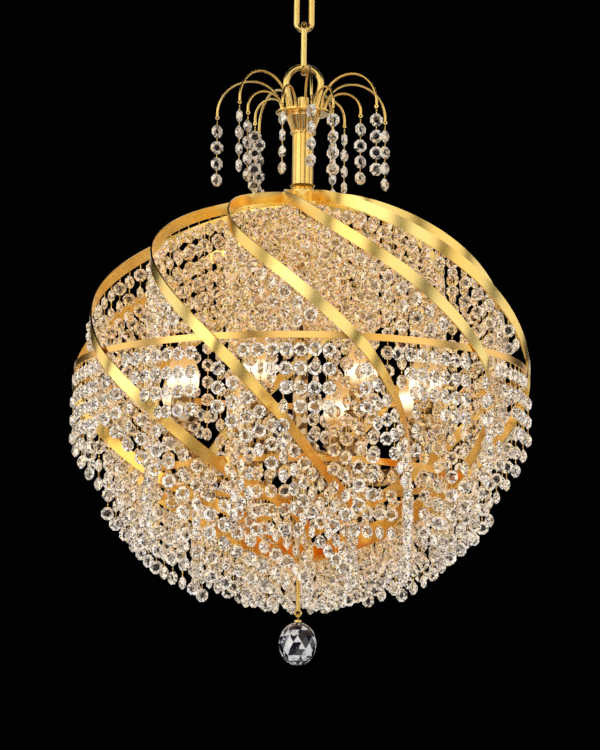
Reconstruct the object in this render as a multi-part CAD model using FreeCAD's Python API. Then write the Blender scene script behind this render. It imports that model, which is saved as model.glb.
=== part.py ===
import FreeCAD, Part
from collections import namedtuple
import math
import os

# Crystal chandelier: a globe of ten spiral bands hung with octagon strands.
# Millimetres, +Z up. The origin is the middle of the ceiling face, and all else hangs below it.
# The front of the chandelier faces -Y.

Vector = FreeCAD.Vector
UP = Vector(0, 0, 1)
CENTRE = Vector(0, 0, 0)

# Ceiling fitting
bracket_length = 100.0
bracket_width = 18.0
bracket_thickness = 2.5
bracket_hole_spacing = 70.0
bracket_hole_radius = 2.3
canopy_radius = 62.0
canopy_depth = 28.0
canopy_wall = 1.2
canopy_side_depth = 9.0
canopy_bulge_radius = 50.0
canopy_bulge_depth = 21.0
canopy_rim_width = 3.0
canopy_neck_radius = 12.0
loop_shank_radius = 5.0
loop_hub_radius = 8.0
loop_hub_height = 12.0
loop_radius = 11.0
loop_wire_radius = 3.0
wire_bore_radius = 2.6

# Chain
link_length = 61.0
link_width = 22.7
link_wire_radius = 3.1
link_count = 3

# Suspension ring and its seat
ring_radius = 19.2
ring_wire_radius = 3.4
ring_leg_angle = 12.0
ring_leg_length = 28.0
ring_foot_radius = 4.4
ring_foot_height = 4.0
nut_side_count = 6
nut_radius = 5.2
nut_height = 16.0

# Spray of wire arms above the globe
plate_radius = 30.0
plate_thickness = 3.0
cup_top_radius = 19.0
cup_height = 22.0
cup_lip_height = 3.0
arm_count = 14
spray_first_turn = 18.0
arm_wire_radius = 1.35
arm_root_radius = 24.0
long_arm_reach = 96.0
short_arm_reach = 64.0
long_arm_drop = 3.0
short_arm_drop = 4.0
tab_radius = 2.2
tab_thickness = 1.2
tab_hole_radius = 1.1
tab_overlap = 0.5
strand_loop_radius = 1.6
strand_loop_wire_radius = 0.5
spray_bead_count = 4
spray_bead_pitch = 18.3

# Stem and hubs
stem_radius = 11.5
stem_wall = 2.0
stem_length = 58.0
collar_radius = 14.0
collar_height = 9.0
collar_lip_height = 3.0
hub_radius = 22.0
hub_height = 15.0
column_radius = 8.0
column_wall = 2.0

# Spiral bands
band_count = 10
band_height = 12.0
band_thickness = 2.0
globe_radius = 250.0
globe_rise = 198.0
upper_fullness = 1.92
lower_fullness = 1.56
band_section_count = 44

# Steps along a band's path, in degrees from the top pole
polar_step = 0.05
obstacle_step = 0.4
halving_count = 60

# The turn of the first band about the axis, in degrees, at angles from the top pole down.
# Zero is the front, and the turn grows towards +X.
band_turns = (
    (0.0, -52.0),
    (15.0, -52.0),
    (30.0, -39.0),
    (50.0, -22.0),
    (70.0, -3.0),
    (90.0, 14.0),
    (110.0, 29.0),
    (130.0, 46.0),
    (145.0, 69.0),
    (160.0, 84.0),
    (180.0, 84.0),
)

# Hoops inside the bands, placed by their height from the widest height
hoop_height = 7.0
hoop_thickness = 2.0
upper_hoop_level = 5.0
lower_hoop_level = -112.0

# Crystal strands
bead_radius = 7.0
bead_pitch = 20.0
bead_girdle = 5.8
bead_thickness = 6.5
pin_radius = 0.6
hook_length = 5.0
hook_spacing = 14.8
first_hook_radius = 31.0
inner_zone_radius = 168.0
inner_floor_level = 40.0

# The lower outline of all strand ends
fringe_radius = 254.0
fringe_drop = 242.0
fringe_offset = 29.0

# Lamps
lamp_count = 8
lamp_circle_radius = 142.0
lamp_turn = -18.0
lamp_seat_level = -62.0
arm_tube_radius = 4.0
arm_tube_wall = 1.0
arm_bend_radius = 48.0
arm_dip_angle = 35.0
arm_hub_radius = 16.0
arm_hub_height = 24.0
lamp_cup_radius = 18.0
lamp_cup_height = 5.0
lamp_cup_wall = 1.2
holder_radius = 12.5
holder_wall = 1.0
holder_height = 26.0
holder_floor = 3.0
socket_height = 20.0
bulb_base_radius = 6.9
bulb_base_length = 18.0
bulb_neck_radius = 9.0
bulb_radius = 17.5
bulb_belly_height = 22.0
bulb_height = 66.0
bulb_tip_radius = 1.0

# The bulb's outline below and above its belly, as shares of its radius and heights
bulb_belly_shares = ((0.72, 0.25), (0.93, 0.6), (1.0, 1.0))
bulb_flame_shares = ((0.93, 0.25), (0.7, 0.5), (0.38, 0.75))

# Finial
rod_radius = 2.5
rod_length = 54.0
eye_radius = 3.2
eye_wire_radius = 1.2
ball_link_wire_radius = 0.9
ball_link_radius = 3.0
ball_radius = 20.6
ball_height = 47.0
ball_side_count = 12
ball_cap_radius = 4.0
ball_cap_height = 2.0

# Rings of facet corners from the ball's top to its bottom, as shares of its radius and half height
ball_shares = (
    (0.2, 1.0),
    (0.5, 0.84),
    (0.78, 0.59),
    (0.95, 0.28),
    (1.0, 0.0),
    (0.95, -0.28),
    (0.78, -0.59),
    (0.5, -0.84),
    (0.2, -1.0),
)

# Clearances
link_gap = 0.3
seat_gap = 0.3
hoop_gap = 0.5
strand_gap = 0.4
thread_gap = 0.05
cut_overrun = 1.0


def degrees_sin(angle):
    return math.sin(math.radians(angle))


def degrees_cos(angle):
    return math.cos(math.radians(angle))


def lathe(outline):
    """Turns a closed outline of (radius, height) points about the Z axis."""
    points = [Vector(radius, 0, height) for radius, height in outline]
    points.append(points[0])
    face = Part.Face(Part.makePolygon(points))
    return face.revolve(CENTRE, UP, 360)


def rod(radius, low, high):
    return Part.makeCylinder(radius, high - low, Vector(0, 0, low))


def pipe(outer, inner, low, high):
    bore = rod(inner, low - cut_overrun, high + cut_overrun)
    return rod(outer, low, high).cut(bore)


def moved(shape, x, y, z):
    copy = shape.copy()
    copy.translate(Vector(x, y, z))
    return copy


def turned(shape, angle):
    copy = shape.copy()
    copy.rotate(CENTRE, UP, angle)
    return copy


def around(shape, count, first_angle):
    """Places copies of a shape evenly about the Z axis."""
    return Part.Compound([turned(shape, first_angle + index * 360 / count) for index in range(count)])


def swept_rod(edges, radius):
    """A round rod along a path of tangent edges."""
    path = Part.Wire(edges)
    start = edges[0].valueAt(edges[0].FirstParameter)
    heading = edges[0].tangentAt(edges[0].FirstParameter)
    section = Part.Wire(Part.makeCircle(radius, start, heading))
    return path.makePipeShell([section], True, False)


def line(start, end):
    return Part.LineSegment(start, end).toShape()


def arc(start, middle, end):
    return Part.Arc(start, middle, end).toShape()


# Heights, worked out from the ceiling down

loop_hub_low = -canopy_depth - loop_hub_height
loop_centre_z = loop_hub_low - loop_radius
loop_low_z = loop_centre_z - loop_radius
link_span = link_length - 2 * link_wire_radius


def link_tops():
    """The height of each link's top wire centre, from the canopy down."""
    first = loop_low_z + loop_wire_radius + link_wire_radius + link_gap
    step = link_span - 2 * link_wire_radius - link_gap
    return [first - index * step for index in range(link_count)]


chain_low_z = link_tops()[-1] - link_span
ring_top_z = chain_low_z + link_wire_radius + ring_wire_radius + link_gap
ring_centre_z = ring_top_z - ring_radius
ring_bend_z = ring_centre_z - ring_radius * degrees_sin(ring_leg_angle)
ring_bend_x = ring_radius * degrees_cos(ring_leg_angle)
plate_top_z = ring_bend_z - ring_leg_length
plate_low_z = plate_top_z - plate_thickness
cup_low_z = plate_low_z - cup_height
stem_low_z = cup_low_z - stem_length
hub_top_z = stem_low_z - collar_height
hub_low_z = hub_top_z - hub_height
hub_middle_z = hub_top_z - hub_height / 2


# Path of the spiral bands

def band_radius(polar):
    """Distance from the axis at an angle from the top pole."""
    share = abs(degrees_cos(polar))
    fullness = upper_fullness if polar < 90 else lower_fullness
    return globe_radius * (1 - share ** fullness) ** (1 / fullness)


def polar_at_radius(radius, low, high):
    """The angle from the top pole, between two bounds, where the band has this radius."""
    rising = band_radius(high) > band_radius(low)
    for _ in range(halving_count):
        middle = (low + high) / 2
        if (band_radius(middle) < radius) == rising:
            low = middle
        else:
            high = middle
    return (low + high) / 2


def band_turn(polar):
    """The first band's turn about the axis, smoothly through the table."""
    last = len(band_turns) - 1
    index = 0
    while index < last - 1 and band_turns[index + 1][0] < polar:
        index += 1
    left, right = band_turns[index], band_turns[index + 1]
    span = right[0] - left[0]
    left_slope = turn_slope(index)
    right_slope = turn_slope(index + 1)
    t = (polar - left[0]) / span
    rest = 1 - t
    return (left[1] * (1 + 2 * t) * rest ** 2 + left_slope * span * t * rest ** 2
            + right[1] * (1 + 2 * rest) * t ** 2 - right_slope * span * rest * t ** 2)


def turn_slope(index):
    """The table's slope at one of its points, level at both ends."""
    if index < 2 or index > len(band_turns) - 3:
        return 0.0
    before, after = band_turns[index - 1], band_turns[index + 1]
    return (after[1] - before[1]) / (after[0] - before[0])


band_start = polar_at_radius(hub_radius, 0.0, 90.0)
band_end = polar_at_radius(hub_radius, 90.0, 180.0)
globe_z = hub_middle_z - globe_rise * degrees_cos(band_start)
bottom_hub_middle_z = globe_z + globe_rise * degrees_cos(band_end)
bottom_hub_top_z = bottom_hub_middle_z + hub_height / 2
bottom_hub_low_z = bottom_hub_middle_z - hub_height / 2


def band_point(polar, turn):
    """A point of a band's centre line. Turn zero is the front, and it grows towards +X."""
    radius = band_radius(polar)
    angle = band_turn(polar) + turn
    height = globe_z + globe_rise * degrees_cos(polar)
    return Vector(radius * degrees_sin(angle), -radius * degrees_cos(angle), height)


def band_heading(polar, turn):
    ahead = band_point(min(polar + polar_step, band_end), turn)
    behind = band_point(max(polar - polar_step, band_start), turn)
    return (ahead - behind).normalize()


def band_edges(polar, turn):
    """The heights of the band's lower and upper edges, straight below and above its centre line."""
    heading = band_heading(polar, turn)
    half = band_height / 2 / math.hypot(heading.x, heading.y)
    middle = band_point(polar, turn).z
    return middle - half, middle + half


def band_section(polar, turn):
    """A rectangle across the band, with its long side in the upright plane of the path."""
    middle = band_point(polar, turn)
    heading = band_heading(polar, turn)
    sideways = heading.cross(UP).normalize()
    rising = sideways.cross(heading)
    if polar in (band_start, band_end):
        rising = UP
    side = sideways * (band_thickness / 2)
    rise = rising * (band_height / 2)
    corners = [middle + side + rise, middle - side + rise, middle - side - rise, middle + side - rise]
    return Part.makePolygon(corners + [corners[0]])


def spiral_band(turn):
    step = (band_end - band_start) / (band_section_count - 1)
    polars = [band_start + index * step for index in range(band_section_count - 1)]
    polars.append(band_end)
    return Part.makeLoft([band_section(polar, turn) for polar in polars], True, False)


# Hoops

def hoop_low_z(level):
    return globe_z + level - hoop_height / 2


def hoop_outer_radius(level):
    """The hoop lies just inside the bands, wherever any part of a band passes its height."""
    low = hoop_low_z(level)
    radii = []
    polar = band_start
    while polar < band_end:
        band_low, band_top = band_edges(polar, 0.0)
        if band_low < low + hoop_height and band_top > low:
            radii.append(band_radius(polar))
        polar += polar_step
    return min(radii) - band_thickness / 2 - hoop_gap


hoop_radii = {level: hoop_outer_radius(level) for level in (upper_hoop_level, lower_hoop_level)}


def hoop(level):
    outer = hoop_radii[level]
    low = hoop_low_z(level)
    return pipe(outer, outer - hoop_thickness, low, low + hoop_height)


# Crystal strands

bead_height = 2 * bead_radius
bead_reach = math.hypot(bead_radius, bead_thickness / 2)


def bead_outline(top):
    """The right side of one octagon bead, drawn in to its pins at top and bottom."""
    shoulder = (bead_height - bead_girdle) / 2
    return [
        (pin_radius, top),
        (bead_radius, top - shoulder),
        (bead_radius, top - shoulder - bead_girdle),
        (pin_radius, top - bead_height),
    ]


def strand(bead_count, pitch):
    """A flat strand of beads on pins, with the top of its hook pin at zero height."""
    right = [(pin_radius, 0)]
    for index in range(bead_count):
        right += bead_outline(-hook_length - index * pitch)
    left = [(-x, z) for x, z in reversed(right)]
    points = [Vector(x, -bead_thickness / 2, z) for x, z in right + left + right[:1]]
    return Part.Face(Part.makePolygon(points)).extrude(Vector(0, bead_thickness, 0))


def fringe_level(radius):
    """The height, from the widest height, where strands end at this radius."""
    share = min(radius / fringe_radius, 1)
    return -fringe_offset - fringe_drop * math.sqrt(1 - share ** 2)


Hook = namedtuple("Hook", "x y top facing owner is_lower")
Obstacle = namedtuple("Obstacle", "x y low top owner")


def band_hook(polar, index):
    """A hook on the band's lower edge, lowered by the edge's slope over the pin's own width."""
    turn = index * 360 / band_count
    place = band_point(polar, turn)
    heading = band_heading(polar, turn)
    slope = abs(heading.z) / math.hypot(heading.x, heading.y)
    top = band_edges(polar, turn)[0] - slope * pin_radius - thread_gap
    facing = math.degrees(math.atan2(heading.y, heading.x))
    return Hook(place.x, place.y, top, facing, index, polar > 90)


def band_hooks(index):
    """Hooks along one band, evenly spaced as seen from above."""
    turn = index * 360 / band_count
    hooks = []
    polar = polar_at_radius(first_hook_radius, 0.0, 90.0)
    last_polar = polar_at_radius(first_hook_radius, 90.0, 180.0)
    place = band_point(polar, turn)
    travelled = hook_spacing
    while polar < last_polar:
        if travelled >= hook_spacing:
            hooks.append(band_hook(polar, index))
            travelled = 0.0
        polar += polar_step
        ahead = band_point(polar, turn)
        travelled += math.hypot(ahead.x - place.x, ahead.y - place.y)
        place = ahead
    return hooks


def hoop_hooks(level, is_lower):
    """Hooks around one hoop."""
    radius = hoop_radii[level] - hoop_thickness / 2
    count = int(2 * math.pi * radius / hook_spacing)
    top = hoop_low_z(level) - thread_gap
    hooks = []
    for index in range(count):
        angle = 360 * index / count
        x = radius * degrees_sin(angle)
        y = -radius * degrees_cos(angle)
        hooks.append(Hook(x, y, top, angle, None, is_lower))
    return hooks


def band_obstacles():
    """Points along all bands that strands keep clear of."""
    obstacles = []
    count = int((band_end - band_start) / obstacle_step)
    for index in range(band_count):
        turn = index * 360 / band_count
        for step in range(count + 1):
            polar = band_start + (band_end - band_start) * step / count
            place = band_point(polar, turn)
            low, top = band_edges(polar, turn)
            obstacles.append(Obstacle(place.x, place.y, low, top, index))
    return obstacles


def blocks(obstacle, hook):
    """A band blocks what hangs beside or above it, but a strand's own band only from below."""
    edge = obstacle.top if obstacle.owner == hook.owner else obstacle.low
    reach = bead_reach + band_thickness / 2 + strand_gap
    return edge < hook.top and math.hypot(obstacle.x - hook.x, obstacle.y - hook.y) < reach


def would_be_hidden(obstacle, hook):
    """Below the upper hoop the bands lie further in, and its strands would hang in front of them."""
    if hook.owner is not None or hook.is_lower or obstacle.top > hook.top:
        return False
    outward = obstacle.x * hook.x + obstacle.y * hook.y
    across = abs(obstacle.x * hook.y - obstacle.y * hook.x) / math.hypot(hook.x, hook.y)
    return outward > 0 and across < bead_radius


def least_distance(hook, other):
    """Neighbours along one band or hoop hang edge to edge, and any other two may face any way."""
    if (hook.owner, hook.is_lower) == (other.owner, other.is_lower):
        return 2 * bead_radius + strand_gap
    return 2 * bead_reach + strand_gap


def strand_floor(hook, obstacles, placed):
    """The lowest height that a strand on this hook may reach."""
    radius = math.hypot(hook.x, hook.y)
    floor = globe_z + fringe_level(radius)
    if radius < inner_zone_radius and not hook.is_lower:
        floor = globe_z + inner_floor_level
    tops = [obstacle.top for obstacle in obstacles
            if blocks(obstacle, hook) or would_be_hidden(obstacle, hook)]
    for level, outer in hoop_radii.items():
        hoop_low = hoop_low_z(level)
        middle = outer - hoop_thickness / 2
        reach = bead_reach + hoop_thickness / 2 + strand_gap
        if hoop_low < hook.top and abs(radius - middle) < reach:
            tops.append(hoop_low + hoop_height)
    for other in placed:
        if math.hypot(other.x - hook.x, other.y - hook.y) < least_distance(hook, other):
            tops.append(other.top)
    return max([floor] + [top + strand_gap for top in tops])


def place_strands():
    """Hangs a strand on each hook, lowest hooks first, each ending clear of what is below it.

    The beads lie flat along the band or hoop that carries them.
    """
    hooks = hoop_hooks(upper_hoop_level, False) + hoop_hooks(lower_hoop_level, True)
    for index in range(band_count):
        hooks += band_hooks(index)
    hooks.sort(key=lambda hook: hook.top)
    obstacles = band_obstacles()
    placed = []
    groups = {False: [], True: []}
    for hook in hooks:
        room = hook.top - hook_length - strand_floor(hook, obstacles, placed)
        if room < bead_height:
            continue
        bead_count = 1 + int((room - bead_height) / bead_pitch)
        hung = turned(strand(bead_count, bead_pitch), hook.facing)
        groups[hook.is_lower].append(moved(hung, hook.x, hook.y, hook.top))
        placed.append(hook)
    return groups


# Ceiling fitting

def ceiling_bracket():
    bar = Part.makeBox(bracket_length, bracket_width, bracket_thickness)
    bar = moved(bar, -bracket_length / 2, -bracket_width / 2, -bracket_thickness)
    for side in (-1, 1):
        hole = rod(bracket_hole_radius, -bracket_thickness - cut_overrun, cut_overrun)
        bar = bar.cut(moved(hole, side * bracket_hole_spacing / 2, 0, 0))
    return bar.cut(rod(loop_shank_radius + thread_gap, -bracket_thickness - cut_overrun, cut_overrun))


def ceiling_canopy():
    """A spun dome with a flat rim against the ceiling and a neck for the loop's shank."""
    inner = canopy_radius - canopy_wall
    bore = loop_shank_radius + thread_gap
    return lathe([
        (canopy_radius, 0),
        (canopy_radius, -canopy_side_depth),
        (canopy_bulge_radius, -canopy_bulge_depth),
        (canopy_neck_radius, -canopy_depth),
        (bore, -canopy_depth),
        (bore, -canopy_depth + canopy_wall),
        (canopy_neck_radius, -canopy_depth + canopy_wall),
        (canopy_bulge_radius - canopy_wall, -canopy_bulge_depth + canopy_wall),
        (inner, -canopy_side_depth),
        (inner, -canopy_wall),
        (inner - canopy_rim_width, -canopy_wall),
        (inner - canopy_rim_width, 0),
    ])


def canopy_loop():
    """A loop with its hollow shank, which clamps the canopy to the bracket."""
    body = rod(loop_shank_radius, loop_hub_low, -seat_gap)
    body = body.fuse(rod(loop_hub_radius, loop_hub_low, -canopy_depth))
    wire_floor = loop_hub_low + loop_hub_height / 2
    body = body.cut(rod(wire_bore_radius, wire_floor, cut_overrun))
    outlet = Vector(0, 0, wire_floor)
    outlet_length = loop_hub_radius + cut_overrun
    body = body.cut(Part.makeCylinder(wire_bore_radius, outlet_length, outlet, Vector(0, 1, 0)))
    loop = Part.makeTorus(loop_radius, loop_wire_radius, Vector(0, 0, loop_centre_z), Vector(0, 1, 0))
    return body.fuse(loop)


# Chain and suspension ring

def chain_link(top):
    """An oval link that faces the front, hung with its top wire centre at this height."""
    bend = link_width / 2 - link_wire_radius
    high = top - bend
    low = top - link_span + bend
    edges = [
        line(Vector(bend, 0, high), Vector(bend, 0, low)),
        arc(Vector(bend, 0, low), Vector(0, 0, low - bend), Vector(-bend, 0, low)),
        line(Vector(-bend, 0, low), Vector(-bend, 0, high)),
        arc(Vector(-bend, 0, high), Vector(0, 0, high + bend), Vector(bend, 0, high)),
    ]
    return swept_rod(edges, link_wire_radius)


def ring_leg_x(height):
    return ring_bend_x - (ring_bend_z - height) * math.tan(math.radians(ring_leg_angle))


def suspension_ring():
    """A round bow whose two legs close in on their feet on the plate."""
    end_z = plate_top_z + ring_foot_height / 2
    end_x = ring_leg_x(end_z)
    left_bend = Vector(-ring_bend_x, 0, ring_bend_z)
    right_bend = Vector(ring_bend_x, 0, ring_bend_z)
    edges = [
        line(Vector(-end_x, 0, end_z), left_bend),
        arc(left_bend, Vector(0, 0, ring_top_z), right_bend),
        line(right_bend, Vector(end_x, 0, end_z)),
    ]
    ring = swept_rod(edges, ring_wire_radius)
    foot = rod(ring_foot_radius, plate_top_z, plate_top_z + ring_foot_height)
    return ring.fuse([moved(foot, -end_x, 0, 0), moved(foot, end_x, 0, 0)])


def prism(side_count, inner_radius, low, height, first_turn):
    """An upright prism with the middle of one side at this turn."""
    corner_radius = inner_radius / degrees_cos(180 / side_count)
    corners = []
    for index in range(side_count + 1):
        angle = first_turn + (index + 0.5) * 360 / side_count
        corners.append(Vector(corner_radius * degrees_sin(angle), -corner_radius * degrees_cos(angle), low))
    return Part.Face(Part.makePolygon(corners)).extrude(Vector(0, 0, height))


def stem_nut():
    return prism(nut_side_count, nut_radius, plate_top_z, nut_height, 0.0)


def spray_plate():
    lip = plate_thickness / 2
    return lathe([
        (0, plate_low_z),
        (plate_radius - lip, plate_low_z),
        (plate_radius, plate_low_z + lip),
        (plate_radius, plate_top_z),
        (0, plate_top_z),
    ])


def spray_cup():
    lip_low = plate_low_z - cup_lip_height
    return lathe([
        (0, cup_low_z),
        (collar_radius, cup_low_z),
        (collar_radius, cup_low_z + cup_lip_height),
        (stem_radius, cup_low_z + 2 * cup_lip_height),
        (cup_top_radius, lip_low),
        (cup_top_radius, plate_low_z),
        (0, plate_low_z),
    ])


# Spray arms and their strands

def arm_reach(index):
    return long_arm_reach if index % 2 == 0 else short_arm_reach


def arm_tip_z(index):
    drop = long_arm_drop if index % 2 == 0 else short_arm_drop
    return plate_top_z - drop


def tab_centre_z(index):
    return arm_tip_z(index) - tab_radius + tab_overlap


def spray_turn(index):
    return spray_first_turn + index * 360 / arm_count


def spray_arm(index):
    """A wire arch over +X with a flat drilled tab at its end."""
    reach = arm_reach(index)
    rise = (reach - arm_root_radius) / 2
    middle = arm_root_radius + rise
    edges = [
        arc(Vector(arm_root_radius, 0, plate_top_z), Vector(middle, 0, plate_top_z + rise),
            Vector(reach, 0, plate_top_z)),
        line(Vector(reach, 0, plate_top_z), Vector(reach, 0, arm_tip_z(index))),
    ]
    across = Vector(0, 1, 0)
    tab_side = Vector(reach, -tab_thickness / 2, tab_centre_z(index))
    hole_side = Vector(reach, -cut_overrun, tab_centre_z(index))
    arm = swept_rod(edges, arm_wire_radius)
    arm = arm.fuse(Part.makeCylinder(tab_radius, tab_thickness, tab_side, across))
    return arm.cut(Part.makeCylinder(tab_hole_radius, 2 * cut_overrun, hole_side, across))


def spray_arms():
    return Part.Compound([turned(spray_arm(index), spray_turn(index)) for index in range(arm_count)])


def spray_strand(index):
    """A short strand whose wire loop hangs through the hole in its arm's tab."""
    reach = arm_reach(index)
    loop_z = tab_centre_z(index) - link_gap - strand_loop_radius
    centre = Vector(reach, 0, loop_z)
    loop = Part.makeTorus(strand_loop_radius, strand_loop_wire_radius, centre, Vector(1, 0, 0))
    beads = moved(strand(spray_bead_count, spray_bead_pitch), reach, 0, loop_z - strand_loop_radius)
    return turned(loop.fuse(beads), spray_turn(index))


# Stem, hubs and column

def stem_tube():
    return pipe(stem_radius, stem_radius - stem_wall, stem_low_z, cup_low_z)


def stem_collar():
    return lathe([
        (0, hub_top_z),
        (collar_radius, hub_top_z),
        (collar_radius, hub_top_z + collar_lip_height),
        (stem_radius, hub_top_z + 2 * collar_lip_height),
        (collar_radius, stem_low_z),
        (0, stem_low_z),
    ])


def top_hub():
    return prism(band_count, hub_radius, hub_low_z, hub_height, band_turn(band_start))


def bottom_hub():
    return prism(band_count, hub_radius, bottom_hub_low_z, hub_height, band_turn(band_end))


def central_column():
    return pipe(column_radius, column_radius - column_wall, bottom_hub_top_z, hub_low_z)


# Lamps

lamp_seat_z = globe_z + lamp_seat_level
dip_sine = degrees_sin(arm_dip_angle)
dip_cosine = degrees_cos(arm_dip_angle)
arm_span = lamp_circle_radius - arm_hub_radius
arm_sweep_radius = (arm_span - arm_bend_radius * (1 + dip_sine)) / dip_sine
arm_start_z = lamp_seat_z + arm_sweep_radius * (1 - dip_cosine) - arm_bend_radius * dip_cosine


def arm_hub():
    return pipe(arm_hub_radius, column_radius + thread_gap,
                arm_start_z - arm_hub_height / 2, arm_start_z + arm_hub_height / 2)


def arm_path():
    """From the hub the arm dips down, then turns up under its lamp."""
    dip = arm_dip_angle
    start = Vector(arm_hub_radius, 0, arm_start_z)
    sweep_centre = start - UP * arm_sweep_radius
    bend_centre = Vector(lamp_circle_radius - arm_bend_radius, 0, lamp_seat_z)

    def on_sweep(angle):
        return sweep_centre + Vector(degrees_sin(angle), 0, degrees_cos(angle)) * arm_sweep_radius

    def on_bend(angle):
        return bend_centre + Vector(degrees_cos(angle), 0, -degrees_sin(angle)) * arm_bend_radius

    low = on_sweep(dip)
    turn = 90 + dip
    return [arc(start, on_sweep(dip / 2), low), arc(low, on_bend(turn / 2), on_bend(0))]


def lamp_arm():
    edges = arm_path()
    return swept_rod(edges, arm_tube_radius).cut(swept_rod(edges, arm_tube_radius - arm_tube_wall))


def at_lamp(shape, index):
    """Moves a shape made on the axis, with its seat at zero height, to one of the lamps."""
    return turned(moved(shape, lamp_circle_radius, 0, lamp_seat_z), lamp_turn_at(index))


def lamp_turn_at(index):
    return lamp_turn - 90 + index * 360 / lamp_count


def at_all_lamps(shape):
    return Part.Compound([at_lamp(shape, index) for index in range(lamp_count)])


holder_low = lamp_cup_wall
holder_top = holder_low + holder_height
socket_low = holder_low + holder_floor
socket_top = socket_low + socket_height
bulb_seat = socket_top + seat_gap


def lamp_cup():
    floor = holder_radius + seat_gap
    return lathe([
        (0, 0),
        (floor, 0),
        (lamp_cup_radius, lamp_cup_height),
        (lamp_cup_radius - lamp_cup_wall, lamp_cup_height),
        (floor, lamp_cup_wall),
        (0, lamp_cup_wall),
    ])


def lamp_holder():
    inner = holder_radius - holder_wall
    return lathe([
        (0, holder_low),
        (holder_radius, holder_low),
        (holder_radius, holder_top),
        (inner, holder_top),
        (inner, socket_low),
        (0, socket_low),
    ])


def lamp_socket():
    outer = holder_radius - holder_wall - seat_gap
    return pipe(outer, bulb_base_radius + thread_gap, socket_low, socket_top)


def bulb():
    """A candle bulb with a plain round base."""
    base_low = bulb_seat - bulb_base_length
    belly = bulb_seat + bulb_belly_height
    tip = bulb_seat + bulb_height
    flame = Part.BSplineCurve()
    points = [Vector(bulb_neck_radius, 0, bulb_seat)]
    points += [Vector(bulb_radius * radius_share, 0, bulb_seat + bulb_belly_height * height_share)
               for radius_share, height_share in bulb_belly_shares]
    points += [Vector(bulb_radius * radius_share, 0, belly + (tip - belly) * height_share)
               for radius_share, height_share in bulb_flame_shares]
    points.append(Vector(bulb_tip_radius, 0, tip))
    flame.interpolate(points)
    corners = [
        Vector(bulb_tip_radius, 0, tip),
        Vector(0, 0, tip),
        Vector(0, 0, base_low),
        Vector(bulb_base_radius, 0, base_low),
        Vector(bulb_base_radius, 0, bulb_seat),
        Vector(bulb_neck_radius, 0, bulb_seat),
    ]
    edges = [flame.toShape()] + [line(start, end) for start, end in zip(corners, corners[1:])]
    face = Part.Face(Part.Wire(Part.__sortEdges__(edges)))
    return face.revolve(CENTRE, UP, 360)


# Finial

rod_low_z = bottom_hub_low_z - rod_length
eye_centre_z = rod_low_z - eye_radius
eye_low_z = eye_centre_z - eye_radius
ball_link_top_z = eye_low_z + eye_wire_radius + ball_link_wire_radius + link_gap
ball_link_centre_z = ball_link_top_z - ball_link_radius
ball_link_low_z = ball_link_centre_z - ball_link_radius
ball_cap_top_z = ball_link_low_z - ball_link_wire_radius
ball_top_z = ball_cap_top_z - ball_cap_height


def finial_rod():
    eye = Part.makeTorus(eye_radius, eye_wire_radius, Vector(0, 0, eye_centre_z), Vector(0, 1, 0))
    return rod(rod_radius, rod_low_z, bottom_hub_low_z).fuse(eye)


def finial_link():
    """A small ring through the eye, on the cap that holds the ball."""
    centre = Vector(0, 0, ball_link_centre_z)
    ring = Part.makeTorus(ball_link_radius, ball_link_wire_radius, centre, Vector(1, 0, 0))
    return ring.fuse([rod(ball_link_wire_radius, ball_cap_top_z, ball_link_low_z),
                      rod(ball_cap_radius, ball_top_z, ball_cap_top_z)])


def finial_ball():
    """A faceted ball, flat-sided all round, drawn out a little at its top and bottom."""
    middle = ball_top_z - ball_height / 2
    rings = []
    for radius_share, height_share in ball_shares:
        corners = []
        for index in range(ball_side_count + 1):
            angle = 360 * index / ball_side_count
            radius = ball_radius * radius_share
            height = middle + height_share * ball_height / 2
            corners.append(Vector(radius * degrees_sin(angle), -radius * degrees_cos(angle), height))
        rings.append(Part.makePolygon(corners))
    return Part.makeLoft(rings, True, True)


def export(name, shape):
    solids = shape.Solids
    valid = all(solid.isValid() and solid.Volume > 0 for solid in solids)
    print(f"{name}: {len(solids)} solids, {sum(solid.Volume for solid in solids):.1f} mm3, valid {valid}")
    shape.exportStep(f"parts/{name}.step")


def main():
    os.makedirs("parts", exist_ok=True)
    export("ceiling_bracket", ceiling_bracket())
    export("ceiling_canopy", ceiling_canopy())
    export("canopy_loop", canopy_loop())
    for index, top in enumerate(link_tops()):
        crossing = 90 if index % 2 == 0 else 0
        export(f"chain_link_{index + 1}", turned(chain_link(top), crossing))
    export("suspension_ring", suspension_ring())
    export("stem_nut", stem_nut())
    export("spray_plate", spray_plate())
    export("spray_cup", spray_cup())
    export("spray_arms", spray_arms())
    for index in range(arm_count):
        export(f"spray_strand_{index + 1:02d}", spray_strand(index))
    export("stem_tube", stem_tube())
    export("stem_collar", stem_collar())
    export("top_hub", top_hub())
    for index in range(band_count):
        export(f"spiral_band_{index + 1:02d}", spiral_band(index * 360 / band_count))
    export("upper_hoop", hoop(upper_hoop_level))
    export("lower_hoop", hoop(lower_hoop_level))
    export("bottom_hub", bottom_hub())
    strands = place_strands()
    export("upper_strands", Part.Compound(strands[False]))
    export("lower_strands", Part.Compound(strands[True]))
    export("central_column", central_column())
    export("arm_hub", arm_hub())
    export("lamp_arms", around(lamp_arm(), lamp_count, lamp_turn_at(0)))
    export("lamp_cups", at_all_lamps(lamp_cup()))
    export("lamp_holders", at_all_lamps(lamp_holder()))
    export("lamp_sockets", at_all_lamps(lamp_socket()))
    for index in range(lamp_count):
        export(f"bulb_{index + 1}", at_lamp(bulb(), index))
    export("finial_rod", finial_rod())
    export("finial_link", finial_link())
    export("finial_ball", finial_ball())


main()
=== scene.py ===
# %% [markdown]
# A crystal chandelier, dressed over its solid model.
# The solid model holds every size: bands, hoops, arms, lamps and the places of all the strands.
# This lesson gives it real finishes and real cut crystal. It starts by loading that model as a fixed frame.

import math
import random

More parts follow.
